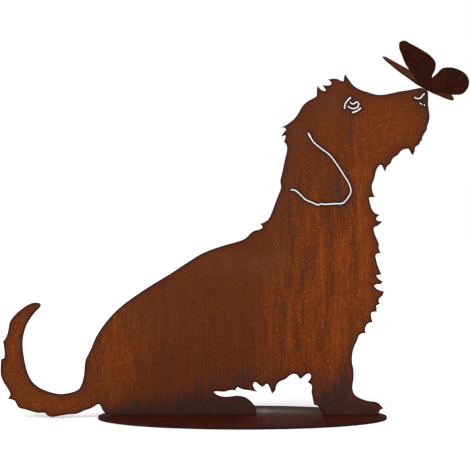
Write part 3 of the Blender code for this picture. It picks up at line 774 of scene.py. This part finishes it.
class Recipe:
    """A material's node tree, and the steps that the rust finishes are made of. Its colour is what
    has been laid down so far, and its place is where the noises are read."""

    def __init__(self, name):
        self.material = bpy.data.materials.new(name)
        self.material.use_nodes = True
        self.tree = self.material.node_tree
        self.shader = self.tree.nodes["Principled BSDF"]
        here = self.put("ShaderNodeTexCoord").outputs["Object"]
        behind = self.put("ShaderNodeMath", {0: self.mark("back"), 1: 0.5}, operation="GREATER_THAN")
        self.straight = self.moved(here, behind.outputs[0], BACK_SHIFT)
        self.place = self.straight
        self.colour = None

    def put(self, kind, inputs=None, **settings):
        """One node with its settings. An input is a number, a colour, or the output that feeds it."""
        node = self.tree.nodes.new(kind)
        for key, value in settings.items():
            setattr(node, key, value)
        for socket, value in (inputs or {}).items():
            if isinstance(value, bpy.types.NodeSocket):
                self.tree.links.new(value, node.inputs[socket])
            else:
                node.inputs[socket].default_value = value
        return node

    def mark(self, name):
        """An attribute of the mesh."""
        return self.put("ShaderNodeAttribute", attribute_name=name).outputs["Fac"]

    def moved(self, place, push, by):
        """A place moved by a push, a number or a vector, times a fixed length along each axis."""
        return self.put("ShaderNodeVectorMath", {0: push, 1: by, 2: place},
                        operation="MULTIPLY_ADD").outputs[0]

    def wander(self, size, reach):
        """From here on, patterns are pushed about sideways by a slow noise, so that stripes wander."""
        slow = self.put("ShaderNodeTexNoise", {"Vector": self.straight, "Scale": 1 / size, "Detail": 2.0})
        self.place = self.moved(self.straight, slow.outputs["Color"], (2 * reach, 0, 2 * reach))

    def noise(self, size, detail=3.0, stretch=(1, 1, 1), shift=(0, 0, 0)):
        """Noise whose blots are about size metres across, and stretch times as long along each axis."""
        scale = [1 / (size * s) for s in stretch]
        moved = self.put("ShaderNodeMapping", {"Vector": self.place, "Location": shift, "Scale": scale})
        return self.put("ShaderNodeTexNoise", {"Vector": moved.outputs[0], "Scale": 1.0,
                                               "Detail": detail, "Roughness": 0.55}).outputs["Fac"]

    def between(self, value, low, high, to_low=0.0, to_high=1.0):
        """The value moved smoothly from the range low–high to to_low–to_high, and held at its ends."""
        return self.put("ShaderNodeMapRange", {"Value": value, "From Min": low, "From Max": high,
                                               "To Min": to_low, "To Max": to_high},
                        interpolation_type="SMOOTHSTEP").outputs[0]

    def times(self, a, b):
        return self.put("ShaderNodeMath", {0: a, 1: b}, operation="MULTIPLY").outputs[0]

    def plus(self, a, b):
        return self.put("ShaderNodeMath", {0: a, 1: b}, operation="ADD").outputs[0]

    def over(self, under, colour, share):
        """A colour laid over another one by a share from 0 to 1."""
        return self.put("ShaderNodeMix", {0: share, 6: under, 7: colour}, data_type="RGBA").outputs[2]

    def lay(self, colour, share, within=None):
        """Lays a colour over what is there by a share, which a second share, within, can hold back."""
        share = share if within is None else self.times(within, share)
        self.colour = self.over(self.colour, colour, share)

    def relief(self, coarse, middle, fine):
        """The crust's height: 0.5·coarse + 0.3·middle + 0.2·fine."""
        large = self.plus(self.times(coarse, 0.5), self.times(middle, 0.3))
        return self.plus(large, self.times(fine, 0.2))

    def finish(self, roughness, height, depth, specular):
        """Feeds the shader: colour, roughness, and a relief whose full height is depth metres."""
        bump = self.put("ShaderNodeBump", {"Height": height, "Distance": depth, "Strength": 1.0})
        for socket, output in (("Base Color", self.colour), ("Roughness", roughness),
                               ("Normal", bump.outputs[0])):
            self.tree.links.new(output, self.shader.inputs[socket])
        self.shader.inputs["Specular IOR Level"].default_value = specular
        return self.material


steps = [name for name in vars(Recipe) if not name.startswith("_")]
print("steps of a recipe:", ", ".join(steps))

# %% [markdown]
# ## The rust of the dog's sheet
#
# This rust is laid down from the bottom up, as it grew. First come the patterns that its layers
# share. Tone, mottle and grain are alike in every direction, and dust nearly so. Those made after
# the call of wander run down with the water: they are stretched downwards, up to ten times, and
# stray a little from side to side. A pattern that is used twice, high values for one layer and low
# values for another, keeps the two layers out of each other's way, as real streaks do.

# %% Patterns of the dog's rust
DOWN = (1, 1, 10)                   # a run mark is ten times as long as it is wide

rust = Recipe("rusted_sheet")
tone = rust.noise(34 * MM, 4)
mottle = rust.noise(3.0 * MM, 3)
grain = rust.noise(1.1 * MM, 2)
dust = rust.noise(1.5 * MM, 2, (1, 1, 1.5), (5.7, 0, 0))
rust.wander(16 * MM, 2.2 * MM)
cloud = rust.noise(9 * MM, 3, (1, 1, 2), (4.1, 0, 0))
thread = rust.noise(1.6 * MM, 2, (1, 1, 8), (1.7, 0, 0))
light = rust.noise(2.6 * MM, 3, DOWN)
shade = rust.noise(3.0 * MM, 3, DOWN, (7.3, 0, 0))
broad = rust.noise(6.5 * MM, 3, DOWN, (2.9, 0, 0))
fine = rust.noise(0.5 * MM, 3, (1, 1, 1.3), (9.1, 0, 0))
hue = rust.noise(1.3 * MM, 2, (1, 1, 1.3), (6.4, 0, 0))
specks = rust.noise(2.0 * MM, 1, (1, 1, 1.4), (3.1, 0, 0))
print("nodes for the patterns:", len(rust.tree.nodes))

# %% [markdown]
# The ground drifts between two red-browns, with darker clouds. Over it comes a fine mottle, then
# gold, and then the orange bloom where its patches say.

# %% Ground and bloom
bloom, runs = rust.mark("bloom"), rust.mark("runs")
lively = rust.between(rust.plus(bloom, runs), 0.1, 1.0, 0.38, 1.0)
golden = rust.times(rust.mark("golden"), rust.between(cloud, 0.40, 0.62, 0.1, 1.0))
rust.colour = rust.over(paint(73, 32, 16), paint(77, 35, 14), rust.between(tone, 0.38, 0.62))
rust.lay(paint(66, 28, 16), rust.between(cloud, 0.45, 0.7, 0, 0.4))
rust.lay(paint(92, 43, 14), rust.between(mottle, 0.44, 0.62, 0, 0.55), within=lively)
rust.lay(paint(87, 49, 9), 0.75, within=golden)
rust.lay(paint(108, 47, 9), rust.between(mottle, 0.36, 0.60, 0.3, 0.95), within=bloom)
print("nodes with the ground:", len(rust.tree.nodes))

# %% [markdown]
# Run marks come in three widths, dark and bright, and redder between the bright ones. The mottle
# breaks some of them up. The single columns lie over them.

# %% Run marks
broken = rust.times(runs, rust.between(mottle, 0.38, 0.60, 0.35, 1.0))
rust.lay(paint(56, 27, 17), rust.between(broad, 0.50, 0.64, 0, 0.55), within=runs)
rust.lay(paint(120, 53, 8), rust.between(broad, 0.50, 0.36, 0, 0.45), within=runs)
rust.lay(paint(134, 55, 8), rust.between(light, 0.50, 0.65, 0, 0.8), within=broken)
rust.lay(paint(122, 38, 14), rust.between(light, 0.46, 0.36, 0, 0.45), within=broken)
rust.lay(paint(52, 27, 16), rust.between(shade, 0.51, 0.65, 0, 0.65), within=runs)
rust.lay(paint(50, 22, 10), rust.between(thread, 0.52, 0.7, 0, 0.6), within=broken)
rust.lay(paint(132, 58, 8), rust.between(light, 0.35, 0.6, 0.3, 0.8), within=rust.mark("bright"))
rust.lay(paint(48, 27, 22), rust.between(shade, 0.35, 0.6, 0.3, 0.85), within=rust.mark("dark"))
print("nodes with the run marks:", len(rust.tree.nodes))

# %% [markdown]
# Close up, rust is a crust of crumbs of two sizes, some dark and some light. Some are cooler and some
# warmer in hue, which a single brown would miss. A little pale dust lies under them, and pale specks
# and the dust that settled last lie on top.

# %% Grain, specks and dust
rust.lay(paint(146, 90, 52), rust.between(dust, 0.50, 0.72, 0, 0.18), within=lively)
rust.lay(paint(34, 12, 4), rust.between(grain, 0.50, 0.68, 0, 0.58), within=lively)
rust.lay(paint(140, 72, 26), rust.between(grain, 0.48, 0.34, 0, 0.30), within=lively)
rust.lay(paint(48, 19, 7), rust.between(fine, 0.50, 0.66, 0, 0.45))
rust.lay(paint(128, 66, 26), rust.between(fine, 0.48, 0.34, 0, 0.35))
rust.lay(paint(74, 50, 32), rust.between(hue, 0.52, 0.68, 0, 0.32))
rust.lay(paint(98, 34, 5), rust.between(hue, 0.48, 0.34, 0, 0.34))
rust.lay(paint(148, 92, 62), rust.between(specks, 0.68, 0.78, 0, 0.45), within=lively)
rust.lay(paint(94, 58, 40), rust.between(cloud, 0.35, 0.65, 0.12, 0.38), within=rust.mark("dusty"))
print("nodes with the grain:", len(rust.tree.nodes))

# %% [markdown]
# The mill's scale is brown and blue-black and frays out along the run marks. At the feet and soles the
# same layer is partly painted shade. The heat of the cutting left a redder band near every cut edge,
# weaker over scale, and a thin dark line on the edge itself. A slow noise makes the band wider in some
# places than in others.

# %% Mill scale with painted shade at the feet, and rims
from_edge = rust.mark("from_edge")
frayed = rust.plus(rust.mark("scale"), rust.between(shade, 0.3, 0.7, -0.2, 0.2))
scale = rust.times(rust.between(frayed, 0.05, 1.0), rust.between(mottle, 0.3, 0.7, 0.7, 1.0))
# this layer paints scale, and at the feet and soles painted shade where the sheet meets the plate
rust.lay(rust.over(paint(52, 32, 28), paint(40, 33, 36), rust.between(cloud, 0.40, 0.60)), scale)
uneven = rust.plus(from_edge, rust.between(tone, 0.3, 0.7, -2.0, 3.0))
band = rust.times(rust.between(uneven, 9.0, 2.0, 0, 0.5), rust.between(scale, 0.2, 0.9, 1.0, 0.3))
rust.lay(paint(74, 32, 21), band)
rust.lay(paint(46, 26, 21), rust.between(from_edge, 3.2, 1.0, 0, 0.75))
print("nodes with the rims:", len(rust.tree.nodes))

# %% [markdown]
# The narrow cut wall is darker, with the fine ribs that a cutting torch leaves across the thickness.
# A noise in one dimension makes them: it reads how far along the cut line a point lies, so the ribs
# stand square to the cut in every curve. Where scale holds on, the metal is smoother.

# %% Cut wall and shader
cut = rust.mark("cut")
ribs = rust.put("ShaderNodeTexNoise", {"W": rust.mark("along"), "Scale": 1.8, "Detail": 2.0},
                noise_dimensions="1D").outputs["Fac"]
rust.lay(rust.over(paint(30, 17, 13), paint(62, 30, 17), rust.between(ribs, 0.35, 0.7)), cut)
rough = rust.plus(rust.between(mottle, 0.3, 0.7, 0.70, 0.88), rust.times(scale, -0.25))
height = rust.over(rust.relief(mottle, grain, fine), rust.times(ribs, 0.6), cut)
dog.data.materials.append(rust.finish(rough, height, 0.25 * MM, specular=0.025))
print("nodes in the dog's rust:", len(rust.tree.nodes))

# %% [markdown]
# ## The rust of the plate
#
# The foot plate is darker and smoother than the dog: it lies flat, so water stands on it. In a few
# places it still has the close skin of the rolling mill, which mirrors the light softly at a low
# angle. The rollers also left faint marks along the plate, and they show in the gloss alone.

# %% Rust of the plate
def plate_rust():
    """Dark brown with rusty flecks and crumbs, and a gloss that varies."""
    rust = Recipe("rusted_plate")
    tone = rust.noise(18 * MM, 4)
    mottle = rust.noise(3 * MM, 4)
    grain = rust.noise(1.0 * MM, 2)
    fine = rust.noise(0.6 * MM, 3, shift=(9.1, 0, 0))
    specks = rust.noise(2.4 * MM, 1, shift=(3.1, 0, 0))
    rolled = rust.noise(1.2 * MM, 2, (14, 1, 1), (4.6, 0, 0))
    rust.colour = rust.over(paint(38, 15, 11), paint(59, 21, 12), rust.between(tone, 0.35, 0.65))
    rust.lay(paint(92, 38, 16), rust.between(mottle, 0.5, 0.75, 0, 0.35))
    rust.lay(paint(26, 11, 7), rust.between(fine, 0.50, 0.66, 0, 0.5))
    rust.lay(paint(104, 50, 26), rust.between(fine, 0.48, 0.34, 0, 0.35))
    rust.lay(paint(124, 74, 46), rust.between(specks, 0.70, 0.80, 0, 0.45))
    rust.lay(paint(48, 22, 14), rust.mark("cut"))
    rust.lay(paint(34, 19, 15), rust.between(rust.mark("from_edge"), 2.0, 0.6, 0, 0.6))
    rough = rust.plus(rust.between(mottle, 0.3, 0.7, 0.66, 0.80), rust.times(rust.mark("skin"), -0.46))
    rough = rust.plus(rough, rust.between(rolled, 0.35, 0.65, -0.07, 0.07))
    return rust.finish(rough, rust.relief(mottle, grain, fine), 0.08 * MM, specular=0.011)


plate.data.materials.append(plate_rust())
print(plate.name, "gets", plate.data.materials[0].name)

# %% [markdown]
# ## The rust of the butterfly
#
# The butterfly is orange on top, where the rain lands, and nearly black beneath: the underside's dark
# is partly rust and partly painted shade of the side turned away from the light. Its wings are painted
# darker towards the body line, painted shade in the fold between them. Faint streaks fan out over each
# wing like veins. Their noise reads the wing's own coordinates, in millimetres along the body and out
# along the wing, and is stretched outwards, so the streaks stay on the wing however it is bent.

# %% Rust of the butterfly
VEIN_STRETCH = 0.12                 # how much slower the streaks change outwards than along the body


def wing_rust():
    """Dark brown below, partly painted shade, and orange above, with streaks, crumbs, painted shade
    towards the body line and a dark rim.
    """
    rust = Recipe("rusted_wings")
    tone = rust.noise(12 * MM, 4)
    mottle = rust.noise(2.5 * MM, 4)
    grain = rust.noise(0.9 * MM, 2)
    fine = rust.noise(0.5 * MM, 3, shift=(9.1, 0, 0))
    from_body, upper = rust.mark("along_wing"), rust.mark("upper")
    on_wing = rust.put("ShaderNodeCombineXYZ", {
        0: rust.mark("along_body"), 1: rust.times(from_body, VEIN_STRETCH), 2: upper}).outputs[0]
    veins = rust.put("ShaderNodeTexNoise",
                     {"Vector": on_wing, "Scale": 0.45, "Detail": 2.0}).outputs["Fac"]
    # painted shade: the underside's near-black brown stands partly for rust and partly for the shade
    # under the raised wings
    below = rust.over(paint(32, 14, 10), paint(43, 17, 10), rust.between(tone, 0.35, 0.65))
    above = rust.over(paint(60, 27, 8), paint(80, 37, 7), rust.between(tone, 0.35, 0.65))
    rust.colour = rust.over(below, above, upper)
    rust.lay(paint(74, 28, 12), rust.between(veins, 0.54, 0.74, 0, 0.35))
    rust.lay(paint(84, 32, 14), rust.between(mottle, 0.54, 0.78, 0, 0.3))
    rust.lay(paint(24, 11, 7), rust.between(fine, 0.50, 0.66, 0, 0.5))
    rust.lay(paint(104, 48, 20), rust.between(fine, 0.48, 0.34, 0, 0.3))
    # painted shade: darker towards the body line, in the fold between the raised wings
    rust.lay(paint(44, 18, 10), rust.between(from_body, 12.0, 3.0, 0, 0.85))
    rust.lay(paint(30, 15, 12), rust.between(rust.mark("from_edge"), 1.6, 0.4, 0, 0.8))
    rough = rust.between(mottle, 0.3, 0.7, 0.60, 0.75)
    return rust.finish(rough, rust.relief(mottle, grain, fine), 0.12 * MM, specular=0.012)


butterfly.data.materials.append(wing_rust())
print(butterfly.name, "gets", butterfly.data.materials[0].name)

# %% [markdown]
# The weld beads were the hottest metal of all. They are dark and a little glassy in their ripples,
# with brown only where rust has started, so two noises are enough.

# %% Rust of the welds
def weld_rust():
    """Blue-brown to rust brown, smoother than the sheets."""
    rust = Recipe("rusted_welds")
    tone = rust.noise(3 * MM, 3)
    grain = rust.noise(0.5 * MM, 2)
    rust.colour = rust.over(paint(42, 27, 25), paint(84, 38, 18), rust.between(tone, 0.4, 0.65))
    return rust.finish(rust.between(tone, 0.3, 0.7, 0.4, 0.65), grain, 0.05 * MM, specular=0.08)


welds.data.materials.append(weld_rust())
print(welds.name, "gets", welds.data.materials[0].name)

# %% [markdown]
# ## Floor, light and background
#
# The photograph has a pure white background with soft light from all round. A white world gives that
# light, and a sun with a very wide disc adds a gentle direction from above the camera's left, as a
# big soft box would. The floor is a pale matt plane that runs far back, so that its horizon melts
# into the white. Blender's Standard view keeps white paper white; the filmic one would grey it.

# %% Floor
FAR = 30.0                          # metres from the middle to each side of the floor
DROP = -0.05 * MM                   # a hair under the plate

floor_corners = [(-FAR, -FAR, DROP), (FAR, -FAR, DROP), (FAR, FAR, DROP), (-FAR, FAR, DROP)]
floor_mesh = bpy.data.meshes.new("studio_floor")
floor_mesh.from_pydata(floor_corners, [], [(0, 1, 2, 3)])
studio_floor = bpy.data.objects.new("studio_floor", floor_mesh)
bpy.context.scene.collection.objects.link(studio_floor)
pale = bpy.data.materials.new("pale_floor")
pale.use_nodes = True
pale_shader = pale.node_tree.nodes["Principled BSDF"]
pale_shader.inputs["Base Color"].default_value = (0.93, 0.93, 0.93, 1.0)
pale_shader.inputs["Roughness"].default_value = 0.9
pale_shader.inputs["Specular IOR Level"].default_value = 0.1
floor_mesh.materials.append(pale)
print("floor:", 2 * FAR, "m on each side")

# %% Light and background
world = bpy.data.worlds.new("white_studio")
world.use_nodes = True
sky = world.node_tree.nodes["Background"]
sky.inputs["Color"].default_value = (1.0, 1.0, 1.0, 1.0)
sky.inputs["Strength"].default_value = 1.0
bpy.context.scene.world = world

soft_box = bpy.data.objects.new("soft_box", bpy.data.lights.new("soft_box", "SUN"))
soft_box.data.energy = 1.8
soft_box.data.angle = math.radians(50)          # width of its disc in the sky
soft_box.rotation_euler = (math.radians(48), 0, math.radians(-28))
bpy.context.scene.collection.objects.link(soft_box)
bpy.context.scene.view_settings.view_transform = "Standard"
print("light: a white world and one wide sun of strength", round(soft_box.data.energy, 2))

# %% [markdown]
